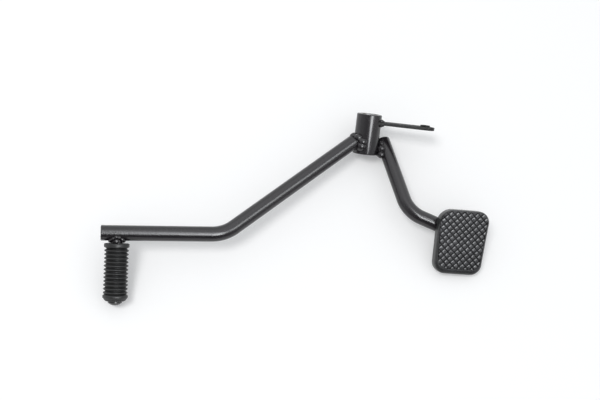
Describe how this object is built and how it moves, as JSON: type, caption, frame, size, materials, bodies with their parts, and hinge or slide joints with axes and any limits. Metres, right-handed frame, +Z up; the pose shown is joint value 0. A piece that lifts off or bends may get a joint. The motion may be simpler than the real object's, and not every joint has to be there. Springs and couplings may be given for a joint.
{
  "type": "gear lever",
  "caption": "Toe-and-heel motorbike gear lever: pivot hub, bent toe arm with ribbed rubber peg, bent heel arm with studded rubber pad, and a flat linkage plate with an eye.",
  "frame": {"origin": "middle of the pivot bore, halfway along the hub on its axis", "axes": "+Y along the pivot bore towards the engine, +X towards the back of the bike where the heel pad is, +Z up with the heel pad level along X"},
  "size_m": [0.3681, 0.1888, 0.0996],
  "materials": {
    "black_paint": "gloss",
    "weld_paint": "gloss",
    "peg_rubber": "satin",
    "pad_rubber": "satin"
  },
  "bodies": {
    "root": {"hub": "black_paint", "toe_arm": "black_paint", "toe_arm_weld": "weld_paint", "heel_arm": "black_paint", "heel_arm_weld": "weld_paint", "link_plate": "black_paint", "link_eyelet": "black_paint", "link_weld": "weld_paint", "toe_peg": "black_paint", "toe_peg_weld": "weld_paint", "toe_peg_rubber": "peg_rubber", "heel_pad_plate": "black_paint", "heel_pad_weld": "weld_paint", "heel_pad_rubber": "pad_rubber"}
  },
  "joints": []
}
